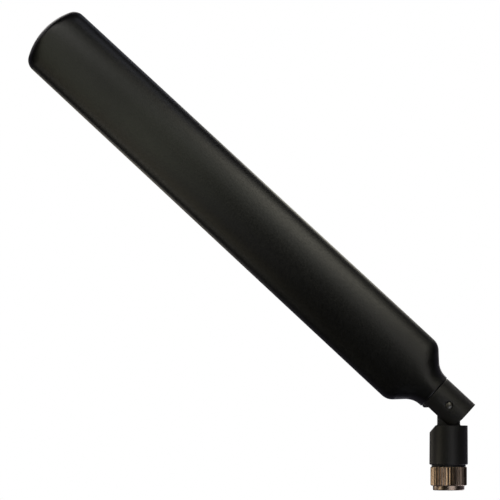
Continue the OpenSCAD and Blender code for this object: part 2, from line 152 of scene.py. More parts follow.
class RadomeSizes(bpy.types.PropertyGroup):
    """Shape of the paddle's two shells"""

    wall: length("Wall", "Thickness of the shells", 1.4)
    neck_end: length("Neck end", "Height at which the round neck starts to widen", 5.5)
    neck_bend: length("Neck bend radius", "Radius of the hollow bend over the neck", 5.4)
    shoulder_radius: length("Shoulder radius", "Radius of the shoulder's round bend", 4)
    flat_from: length("Flat from", "Height at which the flat blade's section is reached", 18)
    blade_thickness: length("Blade thickness", "Thickness of the blade at the shoulder", 8.9)
    tip_thickness: length("Tip thickness", "Thickness of the blade at the tip", 8.4)
    tip_width: length("Tip width", "Width of the blade at the tip", 19.06)
    tip_radius: length("Tip radius", "Radius of the tip's long arc", 17)
    tip_corner: length("Tip corner", "Radius of the tip's two corners", 3.3)
    tip_roll: length("Tip roll", "Length over which the thickness rolls off to the tip", 1.2)
    groove: length("Parting groove", "Depth of the fine groove between the shells", 0.06)
    power: FloatProperty(
        name="Section power",
        description="2 is an ellipse, and more is squarer",
        default=2.15,
        min=2,
        max=6,
    )


class HingeSizes(bpy.types.PropertyGroup):
    """Shape of the knuckle, the pins and the swivel base"""

    slot: length("Slot", "Gap between the ears", 5.34)
    slot_wall: length("Slot wall", "Distance from the pin to the slot's closed side", 3.0)
    slot_top: length("Slot top", "Height of the slot over the pin", 3.45)
    pin: length("Pin radius", "Radius of the hinge pin's shank", 0.8)
    pin_head: length("Pin head radius", "Radius of the pin's domed head", 0.92)
    recess: length("Recess radius", "Radius of the recess round the pin's head", 1.15)
    recess_floor: length("Recess floor", "Distance of the recess floor from the middle", 4.15)
    spigot: length("Spigot radius", "Radius of the spigot in the radome's neck", 3.44)
    tongue_width: length("Tongue width", "Width of the tongue across the pin", 5.8)
    tongue_thickness: length("Tongue thickness", "Thickness of the tongue along the pin", 5.2)
    split: length("Tongue split", "Gap between the tongue's two cheeks", 1.9)
    barrel_height: length("Barrel height", "Height of the barrel up to its shoulder", 10.04)
    edge: length("Edge", "Radius of the moulded edges", 0.16)


class NutSizes(bpy.types.PropertyGroup):
    """Shape of the coupling nut"""

    teeth: IntProperty(
        name="Teeth", description="Number of teeth in the straight knurl", default=36, min=12
    )
    tooth_depth: length("Tooth depth", "Depth of the grooves between the teeth", 0.23)
    lip: length("Lip radius", "Radius of the smooth lip at the mouth", 4.05)
    lip_height: length("Lip height", "Height of the smooth lip", 1.2)
    thread_pitch: length("Thread pitch", "Rise of the thread in one turn", 0.7056)
    thread_minor: length("Thread minor radius", "Radius at the thread's crests", 2.85)
    thread_major: length("Thread major radius", "Radius at the thread's roots", 3.2)


class Finishes(bpy.types.PropertyGroup):
    """Colours of the materials"""

    radome: colour("Radome", "Matt moulded plastic of the paddle", "#0d0d0c")
    hinge: colour("Hinge", "Satin moulded plastic of the knuckle and base", "#151410")
    nickel: colour("Nickel", "Plating of the coupling nut", "#ad9986")
    body_nickel: colour("Body nickel", "Plating of the plug's body", "#b9b1a4")
    gold: colour("Gold", "Plating of the centre contact", "#e3b558")
    ptfe: colour("PTFE", "Insulator in the plug", "#ece9e0")
    bronze: colour("Spring bronze", "The two retaining rings", "#a8743c")
    nylon: colour("Nylon", "Washer under the barrel", "#0d0d0d")
    steel: colour("Steel", "Hinge pins", "#6a6863")
    brass: colour("Brass", "Crimp ferrule", "#c9a24e")
    jacket: colour("Cable jacket", "Sheath of the coaxial cable", "#161616")
    tin: colour("Tin", "The cable's braid", "#b9b8b4")
    core: colour("Cable core", "The cable's dielectric", "#e6e2d6")
    silver: colour("Silver", "The cable's wire", "#d9d6cf")
    laminate: colour("Laminate", "Resist on the antenna's board", "#1d4a2c")
    copper: colour("Copper", "Conductors on the board", "#b8683a")
    solder: colour("Solder", "Joints of the braid and wire", "#bcbcb8")
    ceramic: colour("Ceramic", "Body of the matching capacitor", "#8a6a45")
    ferrite: colour("Ferrite", "Body of the matching inductor", "#3b3d40")
    foam: colour("Foam", "Pads on both sides of the board", "#4a4a4c")


class StageSettings(bpy.types.PropertyGroup):
    """Floor, light and camera"""

    floor_drop: length("Floor drop", "Depth of the floor below the object", 250)
    distance: length("Distance", "Distance from the camera to the object", 3000)
    field: length("Field", "Width that the camera sees at the object", 128.2)
    floor: colour("Floor", "Painted floor", "#f2f1ee")
    light: FloatProperty(
        name="Light", description="Strength of all the lamps together", default=1, min=0
    )


# ---- meshes ----


def solid(name, points, faces):
    """A new object from points and faces, with its doubled points merged and normals out."""
    mesh = bpy.data.meshes.new(name)
    mesh.from_pydata([tuple(p) for p in points], [], [tuple(f) for f in faces])
    bm = bmesh.new()
    bm.from_mesh(mesh)
    bmesh.ops.remove_doubles(bm, verts=bm.verts, dist=TINY)
    bmesh.ops.recalc_face_normals(bm, faces=bm.faces)
    open_edges = [e for e in bm.edges if len(e.link_faces) != 2]
    if open_edges or not bm.faces:
        raise RuntimeError(f"{name} is not a closed solid: {len(open_edges)} open edges")
    bm.to_mesh(mesh)
    bm.free()
    made = bpy.data.objects.new(name, mesh)
    bpy.context.scene.collection.objects.link(made)
    return made


def loft(rings, closed):
    """Points and faces of round rings joined in order, and the last to the first if closed."""
    points, rows, faces = [], [], []
    for ring in rings:
        rows.append(range(len(points), len(points) + len(ring)))
        points.extend(ring)
    pairs = list(zip(rows, rows[1:]))
    if closed:
        pairs.append((rows[-1], rows[0]))
    for a, b in pairs:
        for k in range(max(len(a), len(b))):
            corners = [
                a[k % len(a)],
                a[(k + 1) % len(a)],
                b[(k + 1) % len(b)],
                b[k % len(b)],
            ]
            faces.append(list(dict.fromkeys(corners)))
    return points, faces


def lathe(outline, steps=96):
    """Points and faces of an outline of (radius, height) turned about Z. It starts and ends on
    the axis, or it is a closed loop clear of it."""
    rings = []
    for r, z in outline:
        if r < TINY:
            rings.append([(0, 0, z)])
        else:
            rings.append(
                [
                    (r * math.cos(TURN * k / steps), r * math.sin(TURN * k / steps), z)
                    for k in range(steps)
                ]
            )
    return loft(rings, closed=outline[0][0] >= TINY)


def rounded(corners, steps=4):
    """An outline through corners of (x, y, radius), each turned on its own radius."""
    outline = []
    for i, (x, y, radius) in enumerate(corners):
        corner = Vector((x, y))
        if radius <= 0:
            outline.append(corner)
            continue
        back = (Vector(corners[i - 1][:2]) - corner).normalized()
        ahead = (Vector(corners[(i + 1) % len(corners)][:2]) - corner).normalized()
        half = back.angle(ahead) / 2
        centre = corner + (back + ahead).normalized() * radius / math.sin(half)
        first = corner + back * radius / math.tan(half) - centre
        last = corner + ahead * radius / math.tan(half) - centre
        start = math.atan2(first.y, first.x)
        sweep = (math.atan2(last.y, last.x) - start + math.pi) % TURN - math.pi
        for k in range(steps + 1):
            angle = start + sweep * k / steps
            outline.append(centre + radius * Vector((math.cos(angle), math.sin(angle))))
    return outline


def prism(outline, low, high):
    """Points and faces of a side view in X and Z, drawn out along Y."""
    count = len(outline)
    points = [(x, y, z) for y in (low, high) for x, z in outline]
    faces = [range(count), range(2 * count - 1, count - 1, -1)]
    for k in range(count):
        after = (k + 1) % count
        faces.append([k, k + count, after + count, after])
    return points, faces


def arc(radius, start, end, steps, centre=(0, 0)):
    """Points on an arc, with its angles in degrees."""
    return [
        (
            centre[0] + radius * math.cos(math.radians(start + (end - start) * k / steps)),
            centre[1] + radius * math.sin(math.radians(start + (end - start) * k / steps)),
        )
        for k in range(steps + 1)
    ]


def bake(made):
    """Makes an object's modifiers part of its mesh."""
    graph = bpy.context.evaluated_depsgraph_get()
    mesh = bpy.data.meshes.new_from_object(made.evaluated_get(graph))
    if not mesh.polygons:
        raise RuntimeError(f"{made.name} has no faces left")
    made.modifiers.clear()
    bare = made.data
    made.data = mesh
    bpy.data.meshes.remove(bare)


def combine(made, tool, operation):
    """Joins, cuts or trims a solid by another one, which is used up."""
    step = made.modifiers.new("combine", "BOOLEAN")
    step.operation, step.solver, step.object = operation, "EXACT", tool
    bake(made)
    bpy.data.objects.remove(tool)


def soften(made, width, angle=38):
    """Rounds a solid's sharp edges as a mould does."""
    # cuts leave slivers a few micrometres long, which would tear the rounding
    sliver = 2e-6
    bm = bmesh.new()
    bm.from_mesh(made.data)
    bmesh.ops.remove_doubles(bm, verts=bm.verts, dist=sliver)
    bmesh.ops.dissolve_degenerate(bm, edges=bm.edges, dist=sliver)
    bm.to_mesh(made.data)
    bm.free()
    step = made.modifiers.new("soften", "BEVEL")
    step.width, step.segments = width, 2
    step.limit_method, step.angle_limit = "ANGLE", math.radians(angle)
    bake(made)


def smooth(made, angle=35):
    """Shades a mesh as smooth, with its edges over that angle sharp."""
    made.data.shade_smooth()
    made.data.set_sharp_from_angle(angle=math.radians(angle))
    step = made.modifiers.new("normals", "WEIGHTED_NORMAL")
    step.keep_sharp = True


# ---- materials ----


def add_node(tree, kind, links=None, **settings):
    """Adds a node with its settings. links holds values, or other nodes' outputs to link."""
    node = tree.nodes.new(kind)
    for name, value in settings.items():
        setattr(node, name, value)
    for name, value in (links or {}).items():
        if isinstance(value, bpy.types.NodeSocket):
            tree.links.new(value, node.inputs[name])
        else:
            node.inputs[name].default_value = value
    return node


def blank(name):
    """A new material, and its empty node tree."""
    made = bpy.data.materials.new(name)
    made.use_nodes = True
    made.node_tree.nodes.clear()
    return made, made.node_tree


def mottled(name, base, roughness, grain, depth, metallic=0.0, ior=1.5, tone=0.2, **shader):
    """A material with a fine grain. base is its colour, grain the grain's real width, depth its
    relief, and tone the share by which colour and roughness wander over it."""
    made, tree = blank(name)
    cloud = 24 * grain
    place = add_node(tree, "ShaderNodeTexCoord").outputs["Object"]
    fine = add_node(
        tree,
        "ShaderNodeTexNoise",
        {"Vector": place, "Scale": 1 / grain, "Detail": 2.0, "Roughness": 0.6},
    )
    broad = add_node(
        tree,
        "ShaderNodeTexNoise",
        {"Vector": place, "Scale": 1 / cloud, "Detail": 3.0, "Roughness": 0.5},
    )
    ramp = add_node(tree, "ShaderNodeValToRGB", {"Fac": broad.outputs["Fac"]})
    ramp.color_ramp.elements[0].position, ramp.color_ramp.elements[1].position = 0.3, 0.7
    ramp.color_ramp.elements[0].color = (*[c * (1 - tone) for c in base], 1)
    ramp.color_ramp.elements[1].color = (*[min(1, c * (1 + tone)) for c in base], 1)
    gloss = add_node(
        tree,
        "ShaderNodeMapRange",
        {
            "Value": fine.outputs["Fac"],
            "From Min": 0.3,
            "From Max": 0.7,
            "To Min": roughness * (1 - tone / 2),
            "To Max": min(1, roughness * (1 + tone / 2)),
        },
    )
    bump = add_node(
        tree,
        "ShaderNodeBump",
        {"Height": fine.outputs["Fac"], "Distance": depth, "Strength": 1.0},
    )
    surface = add_node(
        tree,
        "ShaderNodeBsdfPrincipled",
        {
            "Base Color": ramp.outputs["Color"],
            "Roughness": gloss.outputs["Result"],
            "Normal": bump.outputs["Normal"],
            "Metallic": metallic,
            "IOR": ior,
            **shader,
        },
    )
    add_node(tree, "ShaderNodeOutputMaterial", {"Surface": surface.outputs["BSDF"]})
    return made


def finish_piece(made, body, material, replaced, matrix=UPRIGHT):
    """Places a new piece, gives it its material, and tells the frame what it is."""
    made.data.transform(matrix)
    made.data.materials.clear()
    made.data.materials.append(material)
    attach(made, body)
    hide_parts(*replaced)
    return made


def dress(nodes, material):
    """Gives CAD nodes that keep their shape a material."""
    for name in nodes:
        node = frame["nodes"][name]
        node.data.materials.clear()
        node.data.materials.append(material)


# ---- the paddle's shells ----


def paddle_outline(sizes, seam, tip, half_shoulder, neck, inset):
    """Half width against height up the paddle, a distance inside its outer face."""
    hollow, r, slope = sizes.neck_bend, sizes.shoulder_radius, math.radians(45)
    half_tip = sizes.tip_width / 2
    run = (half_shoulder - neck - (hollow + r) * (1 - math.cos(slope))) / math.tan(slope)
    blade = sizes.neck_end + (hollow + r) * math.sin(slope) + run
    taper_from, row = blade + 6 * MM, 0.5 * MM
    centre = tip - sizes.tip_radius
    corner = half_tip - sizes.tip_corner
    reach = sizes.tip_radius - sizes.tip_corner
    turn = math.asin(corner / reach)
    corner_height = centre + reach * math.cos(turn)
    bend_steps, taper_steps, tip_steps = 12, 14, 24
    knots = [(seam, neck - inset)]
    # the hollow bend over the neck, and the shoulder's round bend
    for k in range(bend_steps + 1):
        t = slope * k / bend_steps
        knots.append(
            (
                sizes.neck_end + (hollow + inset) * math.sin(t),
                neck + hollow - (hollow + inset) * math.cos(t),
            )
        )
    for k in range(bend_steps, -1, -1):
        t = slope * k / bend_steps
        knots.append(
            (blade - (r - inset) * math.sin(t), half_shoulder - r + (r - inset) * math.cos(t))
        )
    # straight sides while the section flattens, then the blade's slight taper
    for k in range(1, round((taper_from - blade) / row)):
        knots.append((blade + row * k, half_shoulder - inset))
    for k in range(1, taper_steps):
        share = k / taper_steps
        knots.append(
            (
                taper_from + (corner_height - taper_from) * share,
                half_shoulder + (half_tip - half_shoulder) * share - inset,
            )
        )
    # the tip's corner, and its long arc
    for k in range(bend_steps + 1):
        t = (math.pi / 2 - turn) * k / bend_steps
        knots.append(
            (
                corner_height + (sizes.tip_corner - inset) * math.sin(t),
                corner + (sizes.tip_corner - inset) * math.cos(t),
            )
        )
    for k in range(1, tip_steps):
        t = turn * (1 - k / tip_steps)
        knots.append(
            (
                centre + (sizes.tip_radius - inset) * math.cos(t),
                (sizes.tip_radius - inset) * math.sin(t),
            )
        )
    knots.append((tip - inset, 0))
    return knots


def flatness(sizes, height):
    """0 at the round neck and 1 on the flat blade, with no kink at either end."""
    share = (height - sizes.neck_end) / (sizes.flat_from - sizes.neck_end)
    return (1 - math.cos(math.pi * min(1, max(0, share)))) / 2


def half_thickness(sizes, tip, neck, height, inset):
    """Half thickness against height up the paddle."""
    share = max(0, (height - sizes.flat_from) / (tip - sizes.flat_from))
    blade = sizes.blade_thickness + (sizes.tip_thickness - sizes.blade_thickness) * share
    full = neck + (blade / 2 - neck) * flatness(sizes, height) - inset
    roll = max(0, height + inset - tip + sizes.tip_roll) / sizes.tip_roll
    return full * math.sqrt(max(0, 1 - roll * roll))


def shell(name, sizes, side):
    """One half of the radome: side is -1 for the front and 1 for the back."""
    low, high = box_in("radome_front", PADDLE)
    seam, tip, half_shoulder = low.z, high.z, high.x
    neck = -low.y
    steps = 56
    grids = []
    for inset in (0, sizes.wall):
        rows = []
        for height, half_width in paddle_outline(sizes, seam, tip, half_shoulder, neck, inset):
            power = 2 + (sizes.power - 2) * flatness(sizes, height)
            thick = half_thickness(sizes, tip, neck, height, inset)
            row = []
            for k in range(steps + 1):
                t = math.pi * k / steps
                x = abs(math.cos(t)) ** (2 / power) * math.copysign(half_width, math.cos(t))
                y = 0 if k in (0, steps) else thick * math.sin(t) ** (2 / power)
                row.append((x, side * y, height))
            rows.append(row)
        grids.append(rows)
    outer, inner = grids
    # the outer skin's rim is drawn in a little, so that the two halves meet in a fine groove
    for row in outer[:-1]:
        for k in (0, steps):
            x, y, z = row[k]
            if abs(x) > 2 * sizes.groove:
                row[k] = (x - math.copysign(sizes.groove, x), y, z)
    # the neck's end is rounded over, so that it dips into the seam over the knuckle
    lip, lip_steps = 4 * sizes.groove, 4
    rolled = []
    for k in range(lip_steps):
        angle = math.pi / 2 * k / lip_steps
        draw = lip * (1 - math.sin(angle))
        scale = (neck - draw) / neck
        rise = lip * (1 - math.cos(angle))
        rolled.append([(x * scale, y * scale, z + rise) for x, y, z in outer[0]])
    outer = rolled + [[(x, y, z + lip) for x, y, z in outer[0]]] + outer[1:]
    inner = [inner[0]] * len(rolled) + [[(x, y, z + lip) for x, y, z in inner[0]]] + inner[1:]
    rings = [list(a) + list(reversed(b)) for a, b in zip(outer, inner)]
    points, faces = loft(rings, closed=False)
    count = 2 * (steps + 1)
    for k in range(steps):
        faces.append([k, k + 1, count - 2 - k, count - 1 - k])
    made = solid(name, points, faces)
    smooth(made, 40)
    return made


class ANTENNA_OT_radome(bpy.types.Operator):
    """Builds the paddle's front and back shells"""

    bl_idname = "antenna.radome"
    bl_label = "Radome"

    def execute(self, context):
        sizes = context.scene.radome_sizes
        # ABS moulded against a spark-eroded cavity: near black and matt, with a fine grain that
        # breaks up its soft sheen. The real grain is about 0.15 mm; it is drawn at 0.5 mm to show
        plastic = mottled(
            "abs_spark_eroded_black",
            context.scene.finishes.radome,
            roughness=0.35,
            grain=0.5 * MM,
            depth=0.02 * MM,
            ior=1.5,
            tone=0.3,
        )
        for side, name in ((-1, "front"), (1, "back")):
            made = shell("radome_shell_" + name, sizes, side)
            finish_piece(made, "paddle", plastic, ["radome_" + name], PADDLE)
        return {"FINISHED"}


# ---- hinge ----


def knuckle(sizes):
    """The fork: a cylinder on the paddle's axis, cut square on one side and round on the other,
    with a slot for the tongue and a spigot for the radome's neck."""
    low, high = box_in("hinge_knuckle", PADDLE)
    seam = box_in("radome_front", PADDLE)[0].z
    radius, end, reach = high.y, -low.z, 2 * high.y
    # the edge at the seam is rounded off, so that the seam shows as a dark line
    cable_way, dent = 0.85 * MM, 0.28 * MM
    bulge = 0.35 * dent
    turned = [
        (cable_way, low.z - MM),
        (radius, low.z - MM),
        (radius, seam - dent),
        (radius - bulge, seam - bulge),
        (radius - dent, seam),
        (sizes.spigot, seam),
        (sizes.spigot, high.z),
        (cable_way, high.z),
    ]
    made = solid("hinge_fork", *lathe(turned, 128))
    ears = arc(end, 180, 270, 32) + [(reach, -end), (reach, high.z + MM), (-reach, high.z + MM)]
    combine(made, solid("ears", *prism(ears + [(-reach, 0)], -reach, reach)), "INTERSECT")
    # the slot is open on the barrel's side, with a chamfer at its mouth and a flare at its top
    wall, top, chamfer = sizes.slot_wall, sizes.slot_top, 0.6 * MM
    flare_from, flare = -3.93 * MM, 0.91 * MM
    slot = [
        (-reach, -reach),
        (wall + chamfer, -reach),
        (wall + chamfer, -end),
        (wall, chamfer - end),
        (wall, top),
        (flare_from, top),
        (flare_from - flare, top + flare),
        (-reach, top + flare),
    ]
    combine(made, solid("slot", *prism(slot, -sizes.slot / 2, sizes.slot / 2)), "DIFFERENCE")
    for matrix in (FRONT_PIN, BACK_PIN):
        outline = [
            (0, 0),
            (sizes.pin, 0),
            (sizes.pin, sizes.recess_floor),
            (sizes.recess, sizes.recess_floor),
            (sizes.recess, reach),
            (0, reach),
        ]
        hole = solid("hole", *lathe(outline, 48))
        hole.data.transform(PADDLE.inverted() @ matrix)
        combine(made, hole, "DIFFERENCE")
    soften(made, sizes.edge * 0.6)
    smooth(made)
    return made


def pin(name, sizes):
    """A stub pin with a low domed head."""
    head, floor = sizes.pin_head, sizes.recess_floor
    low, high = box_in("hinge_pin_front", FRONT_PIN)
    top, rim = high.z, 0.15 * MM
    dome = top - floor - rim
    bend = (head**2 + dome**2) / (2 * dome)
    shank_edge, head_edge = 0.15 * MM, 0.05 * MM
    outline = rounded(
        [
            (0, low.z, 0),
            (sizes.pin, low.z, shank_edge),
            (sizes.pin, floor, 0),
            (head, floor, head_edge),
        ]
    )
    crown = math.degrees(math.asin(head / bend))
    outline += arc(bend, 90 - crown, 90, 14, centre=(0, top - bend))
    outline[-1] = (0, top)
    return solid(name, *lathe(outline, 48))


def barrel_and_tongue(sizes):
    """The barrel, with its cut shoulder, and the split tongue that stands on it."""
    low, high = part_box("swivel_base")
    shoulder = low.z + sizes.barrel_height
    radius, half = high.x, sizes.tongue_width / 2
    cable_way, bore, bore_top = 1 * MM, 2.55 * MM, 10.5 * MM
    groove, groove_low, groove_high = 3.15 * MM, 6.03 * MM, 6.75 * MM
    foot_edge, draft = 0.3 * MM, 0.06 * MM
    foot = rounded(
        [
            (cable_way, shoulder, 0),
            (cable_way, bore_top, 0),
            (bore, bore_top, 0),
            (bore, groove_high, 0),
            (groove, groove_high, 0),
            (groove, groove_low, 0),
            (bore, groove_low, 0),
            (bore, low.z, 0),
            (radius, low.z, foot_edge),
            (radius - draft, shoulder, 0),
        ]
    )
    made = solid("swivel_barrel", *lathe(foot, 128))
    # the shoulder is cut away on the side that the paddle tilts to
    cut_from, cut_depth = -3.3 * MM, 1.85 * MM
    fall = cut_depth * (radius + MM + cut_from) / (radius + cut_from)
    wedge = [
        (cut_from, shoulder),
        (cut_from, shoulder + MM),
        (-radius - MM, shoulder + MM),
        (-radius - MM, shoulder - fall),
    ]
    combine(made, solid("wedge", *prism(wedge, -2 * radius, 2 * radius)), "DIFFERENCE")
    soften(made, sizes.edge)
    # the tongue reaches down into the barrel, and has a small fillet where it leaves it
    foot_z, root = shoulder - 0.9 * MM, 0.4 * MM
    side = arc(half, 0, 180, 40, centre=(0, PIVOT.z))
    tongue = (
        side
        + arc(root, 0, -90, 5, centre=(-half - root, shoulder + root))
        + [(-half - root, foot_z), (half + root, foot_z)]
        + arc(root, 270, 180, 5, centre=(half + root, shoulder + root))
    )
    part = solid(
        "tongue", *prism(tongue, -sizes.tongue_thickness / 2, sizes.tongue_thickness / 2)
    )
    way = [(0, 0), (cable_way, 0), (cable_way, PIVOT.z), (0, PIVOT.z)]
    combine(part, solid("way", *lathe(way, 48)), "DIFFERENCE")
    gap = sizes.split / 2
    reach, split_foot = 2 * radius, shoulder + 0.8 * MM
    split = [
        (-reach, split_foot),
        (reach, split_foot),
        (reach, high.z + reach),
        (-reach, high.z + reach),
    ]
    combine(part, solid("split", *prism(split, -gap, gap)), "DIFFERENCE")
    pin_hole = 0.83 * MM
    hole = solid(
        "hole", *lathe([(0, -reach), (pin_hole, -reach), (pin_hole, reach), (0, reach)], 48)
    )
    hole.data.transform(
        Matrix.Translation(PIVOT) @ Matrix.Rotation(math.radians(90), 4, "X")
    )
    combine(part, hole, "DIFFERENCE")
    soften(part, sizes.edge * 0.6)
    combine(made, part, "UNION")
    smooth(made)
    return made


class ANTENNA_OT_hinge(bpy.types.Operator):
    """Builds the knuckle, its two pins and the swivel base"""

    bl_idname = "antenna.hinge"
    bl_label = "Hinge and swivel base"

    def execute(self, context):
        sizes = context.scene.hinge_sizes
        colours = context.scene.finishes
        # glass-filled nylon from a stoned mould: black with a satin sheen, and hardly any grain
        plastic = mottled(
            "nylon_moulded_satin_black",
            colours.hinge,
            roughness=0.46,
            grain=0.35 * MM,
            depth=0.006 * MM,
            ior=1.53,
            tone=0.15,
        )
        finish_piece(
            knuckle(sizes), "paddle", plastic, ["hinge_knuckle"], PADDLE
        )
        made = barrel_and_tongue(sizes)
        finish_piece(made, "base", plastic, ["swivel_base"])
        # stainless steel, cold headed: dull grey, with a slight orange-peel on the dome
        steel = mottled(
            "stainless_steel_headed",
            colours.steel,
            roughness=0.4,
            grain=0.2 * MM,
            depth=0.004 * MM,
            metallic=1.0,
        )
        for name, matrix in (("front", FRONT_PIN), ("back", BACK_PIN)):
            made = pin("hinge_rivet_" + name, sizes)
            smooth(made)
            finish_piece(made, "paddle", steel, ["hinge_pin_" + name], matrix)
        return {"FINISHED"}


# ---- coupling nut ----


def nut(sizes):
    """The nut as one skin: knurl, lip, mouth, helical thread, relief and rear collar."""
    low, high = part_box("coupling_nut")
    crest, mouth, top = high.x, low.z, high.z
    samples = 8
    steps = samples * sizes.teeth
    knurl_low = mouth + sizes.lip_height
    bevel, chamfer = 0.28 * MM, 0.1 * MM
    # rise and draw of the knurl's rounded ends, as shares of the bevel
    bevel_rows = ((0, 1), (0.35, 0.45), (0.7, 0.12), (1.0, 0))

    def ring(radius_at, z):
        """Points of one turn at a height, with the radius that each step of it has."""
        return [
            (radius_at(k) * math.cos(TURN * k / steps), radius_at(k) * math.sin(TURN * k / steps), z)
            for k in range(steps)
        ]

    def tooth(k):
        """0 on a tooth's crest and 1 at the bottom of a groove, both a little rounded."""
        share = abs(((k / samples) % 1) - 0.5) * 2
        return min(1, max(0, 1.25 * share - 0.1))

    def knurl(draw, z):
        """One turn of the knurl, with its teeth cut back to a share of the bevel."""
        return ring(
            lambda k: min(crest - draw * bevel, crest - sizes.tooth_depth * tooth(k)), z
        )

    # rear face, then down the outside
    rings = [ring(lambda k: crest - bevel - chamfer, top)]
    rings += [knurl(draw, top - rise * bevel) for rise, draw in bevel_rows]
    rings += [knurl(draw, knurl_low + rise * bevel) for rise, draw in reversed(bevel_rows)]
    lip, edge = sizes.lip, 0.3 * MM
    rings.append(ring(lambda k: lip + 0.12 * MM, knurl_low))
    rings.append(ring(lambda k: lip + 0.03 * MM, knurl_low - 0.04 * MM))
    rings.append(ring(lambda k: lip, knurl_low - 0.12 * MM))
    for rise, draw in ((1.0, 0), (0.62, 0.08), (0.3, 0.3), (0.08, 0.62), (0, 1)):
        z = mouth + rise * edge
        rings.append(ring(lambda k, draw=draw: lip - draw * edge, z))
    # mouth and thread
    opening, break_edge = sizes.thread_major + 0.05 * MM, 0.08 * MM
    rings.append(ring(lambda k: opening + break_edge, mouth))
    rings.append(ring(lambda k: opening, mouth + break_edge))
    thread_low, thread_high, run_out = mouth + 0.3 * MM, mouth + 4.35 * MM, 0.35 * MM
    depth = sizes.thread_major - sizes.thread_minor
    rows = 104
    for row in range(rows + 1):
        z = thread_low + (thread_high - thread_low) * row / rows
        fade = min(1, (z - thread_low) / run_out, (thread_high - z) / run_out)

        def wall(k, z=z, fade=fade):
            """Radius of the thread's wall: a ridge with a narrow flat on its crest."""
            share = (z / sizes.thread_pitch - k / steps) % 1
            ridge = min(1, max(0, 1.4 - 3.2 * abs(share - 0.5)))
            return sizes.thread_major - depth * ridge * fade

        rings.append(ring(wall, z))
    # relief and rear collar
    collar_z, collar = 2.66 * MM, 2.85 * MM
    rings.append(ring(lambda k: sizes.thread_major, collar_z))
    rings.append(ring(lambda k: collar, collar_z))
    rings.append(ring(lambda k: collar, top))
    return solid("knurled_nut", *loft(rings, closed=True))


def nickel_on_brass(name, base):
    """Nickel plated over turned brass."""
    made, tree = blank(name)
    place = add_node(tree, "ShaderNodeTexCoord").outputs["Object"]
    # turning lines run round the metal, 0.08 mm apart: stretched noise shows them as faint rings
    lines = add_node(
        tree,
        "ShaderNodeMapping",
        {"Vector": place, "Scale": (200, 200, 1 / (0.08 * MM))},
    )
    turned = add_node(
        tree, "ShaderNodeTexNoise", {"Vector": lines.outputs["Vector"], "Scale": 1.0}
    )
    stain = add_node(
        tree, "ShaderNodeTexNoise", {"Vector": place, "Scale": 1 / (1.2 * MM), "Detail": 3.0}
    )
    tint = add_node(tree, "ShaderNodeValToRGB", {"Fac": stain.outputs["Fac"]})
    tint.color_ramp.elements[0].position, tint.color_ramp.elements[1].position = 0.35, 0.65
    tint.color_ramp.elements[0].color = (*[c * 0.82 for c in base], 1)
    tint.color_ramp.elements[1].color = (*[min(1, c * 1.08) for c in base], 1)
    gloss = add_node(
        tree,
        "ShaderNodeMapRange",
        {"Value": turned.outputs["Fac"], "To Min": 0.26, "To Max": 0.34},
    )
    bump = add_node(
        tree, "ShaderNodeBump", {"Height": turned.outputs["Fac"], "Distance": 0.0003 * MM}
    )
    surface = add_node(
        tree,
        "ShaderNodeBsdfPrincipled",
        {
            "Base Color": tint.outputs["Color"],
            "Metallic": 1.0,
            "Roughness": gloss.outputs["Result"],
            "Normal": bump.outputs["Normal"],
        },
    )
    add_node(tree, "ShaderNodeOutputMaterial", {"Surface": surface.outputs["BSDF"]})
    return made


class ANTENNA_OT_nut(bpy.types.Operator):
    """Builds the knurled coupling nut"""

    bl_idname = "antenna.nut"
    bl_label = "Coupling nut"

    def execute(self, context):
        made = nut(context.scene.nut_sizes)
        smooth(made, 30)
        # nickel over turned brass, warm grey: soft bright streaks, one to each tooth's flank
        plating = nickel_on_brass("nickel_plated_brass", context.scene.finishes.nickel)
        finish_piece(made, "nut", plating, ["coupling_nut"])
        return {"FINISHED"}


# ---- plug ----


class ANTENNA_OT_plug(bpy.types.Operator):
    """Finishes the plug's body, contact, insulator, rings, washer and ferrule"""

    bl_idname = "antenna.plug"
    bl_label = "Plug"

    def execute(self, context):
        colours = context.scene.finishes
        dress(
            ["connector_body"],
            nickel_on_brass("nickel_plated_brass_body", colours.body_nickel),
        )
        # hard gold over nickel: a bright warm pin that dulls a little where it mates
        gold = mottled(
            "hard_gold_plating", colours.gold, 0.2, 0.3 * MM, 0.002 * MM, metallic=1.0, tone=0.1
        )
        dress(["centre_contact"], gold)
        # sintered PTFE, machined: waxy white, soft light a little way into it
        ptfe = mottled(
            "ptfe_machined",
            colours.ptfe,
            0.42,
            0.25 * MM,
            0.004 * MM,
            ior=1.36,
            tone=0.03,
            **{"Subsurface Weight": 0.3, "Subsurface Scale": 0.5 * MM},
        )
        dress(["ptfe_insulator"], ptfe)
        # phosphor bronze wire, rolled flat: warm brown metal with drawn streaks
        bronze = mottled(
            "phosphor_bronze_spring", colours.bronze, 0.34, 0.15 * MM, 0.004 * MM, metallic=1.0
        )
        dress(["nut_retaining_ring", "swivel_retaining_ring"], bronze)
        # black nylon, punched from sheet: dull, with a faint satin
        nylon = mottled("nylon_sheet_black", colours.nylon, 0.6, 0.25 * MM, 0.006 * MM, ior=1.53)
        dress(["thrust_washer"], nylon)
        # bare brass tube, crimped: yellow metal, lightly tarnished
        brass = mottled(
            "brass_tube", colours.brass, 0.32, 0.4 * MM, 0.005 * MM, metallic=1.0, tone=0.25
        )
        dress(["crimp_ferrule"], brass)
        return {"FINISHED"}


# ---- cable ----


def tube(name, path, radius, sides=24):
    """A round tube along a path that lies in XZ."""
    rings = [[tuple(path[0])]]
    for i, point in enumerate(path):
        along = (path[min(i + 1, len(path) - 1)] - path[max(i - 1, 0)]).normalized()
        across = Vector((along.z, 0, -along.x))
        rings.append(
            [
                tuple(
                    point
                    + across * radius * math.cos(TURN * k / sides)
                    + Vector((0, radius * math.sin(TURN * k / sides), 0))
                )
                for k in range(sides)
            ]
        )
    rings.append([tuple(path[-1])])
    return solid(name, *loft(rings, closed=False))


